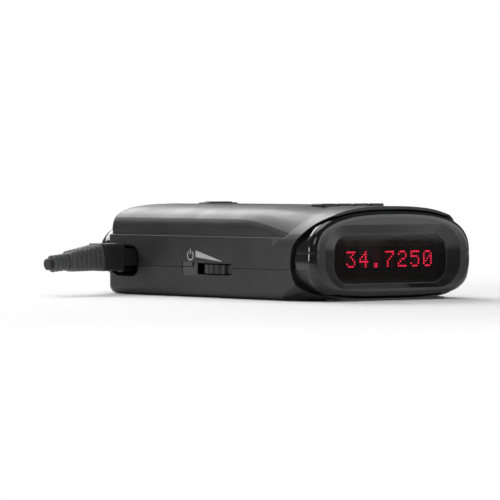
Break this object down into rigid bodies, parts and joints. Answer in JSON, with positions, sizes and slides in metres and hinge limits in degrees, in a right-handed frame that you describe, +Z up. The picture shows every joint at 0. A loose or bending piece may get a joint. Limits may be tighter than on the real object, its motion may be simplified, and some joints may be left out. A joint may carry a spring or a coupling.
{
  "type": "radar detector",
  "caption": "Windscreen-mounted radar detector with a dot-matrix display, top buttons, side volume wheel, bracket slot and a removable modular power plug.",
  "frame": {"origin": "centre of the flat underside of the casing", "axes": "+Z up, +Y towards the windscreen and the antenna nose, -Y the display, -X the side with the volume wheel and the power plug"},
  "size_m": [0.1074, 0.1374, 0.0342],
  "materials": {
    "casing": "satin, fine texture",
    "bezel": "gloss",
    "window": "gloss, smoked",
    "display_block": "gloss",
    "board": "satin",
    "ribbon": "satin",
    "button": "satin",
    "pad": "matt",
    "component": "matt",
    "wheel": "satin",
    "steel": "satin",
    "jack": "matt",
    "contact": "polished",
    "plug": "satin",
    "boot": "matt",
    "cord": "matt",
    "tin": "satin",
    "horn": "cast",
    "sensor": "gloss",
    "basket": "satin",
    "cone": "matt",
    "foam": "matt",
    "wire": "matt",
    "nose": "gloss",
    "screw": "blackened"
  },
  "bodies": {
    "case": {"top_shell": "casing", "bottom_shell": "casing", "front_bezel": "bezel", "display_window": "window", "display_module": "display_block", "display_board": "board", "ribbon_cable": "ribbon", "button_pad": "pad", "button_board": "board", "tact_switches": "component", "volume_control": "component", "power_jack": "jack", "jack_contacts": "contact", "release_spring": "steel", "main_board": "board", "board_components": "component", "rf_shield": "tin", "horn_antenna": "horn", "laser_sensor": "sensor", "speaker": "basket", "speaker_cone": "cone", "speaker_gasket": "foam", "speaker_wires": "wire", "rear_lens": "nose", "case_screws": "screw", "board_screws": "screw"},
    "thumbwheel": {"thumbwheel": "wheel", "volume_spindle": "steel"},
    "mark_button": {"mark_button": "button"},
    "brightness_button": {"brightness_button": "button"},
    "mute_button": {"mute_button": "button"},
    "sensitivity_button": {"sensitivity_button": "button"},
    "release_button": {"release_button": "button"},
    "plug": {"plug_body": "plug", "plug_contacts": "contact", "strain_relief": "boot", "cord_stub": "cord"},
    "plug_latch": {"plug_latch": "plug"}
  },
  "joints": [
    {"name": "thumbwheel_turn", "type": "hinge", "parent": "case", "child": "thumbwheel", "pos_m": [-0.026, -0.0055, 0.0102], "axis": [0, 0, 1], "range_deg": [0, 270]},
    {"name": "mark_button_press", "type": "slide", "parent": "case", "child": "mark_button", "axis": [0, 0, -1], "range_m": [0, 0.0007], "stiffness_N_per_m": 800},
    {"name": "brightness_button_press", "type": "slide", "parent": "case", "child": "brightness_button", "axis": [0, 0, -1], "range_m": [0, 0.0007], "stiffness_N_per_m": 800},
    {"name": "mute_button_press", "type": "slide", "parent": "case", "child": "mute_button", "axis": [0, 0, -1], "range_m": [0, 0.0007], "stiffness_N_per_m": 800},
    {"name": "sensitivity_button_press", "type": "slide", "parent": "case", "child": "sensitivity_button", "axis": [0, 0, -1], "range_m": [0, 0.0007], "stiffness_N_per_m": 800},
    {"name": "release_slide", "type": "slide", "parent": "case", "child": "release_button", "axis": [0, -1, 0], "range_m": [0, 0.0022], "stiffness_N_per_m": 400, "deforming": ["release_spring"]},
    {"name": "plug_slide", "type": "slide", "parent": "case", "child": "plug", "axis": [-1, 0, 0], "range_m": [0, 0.018]},
    {"name": "latch_flex", "type": "hinge", "parent": "plug", "child": "plug_latch", "pos_m": [-0.0236, 0.0518, 0.0104], "axis": [0, 1, 0], "range_deg": [0, 5], "stiffness_Nm_per_rad": 0.05}
  ]
}
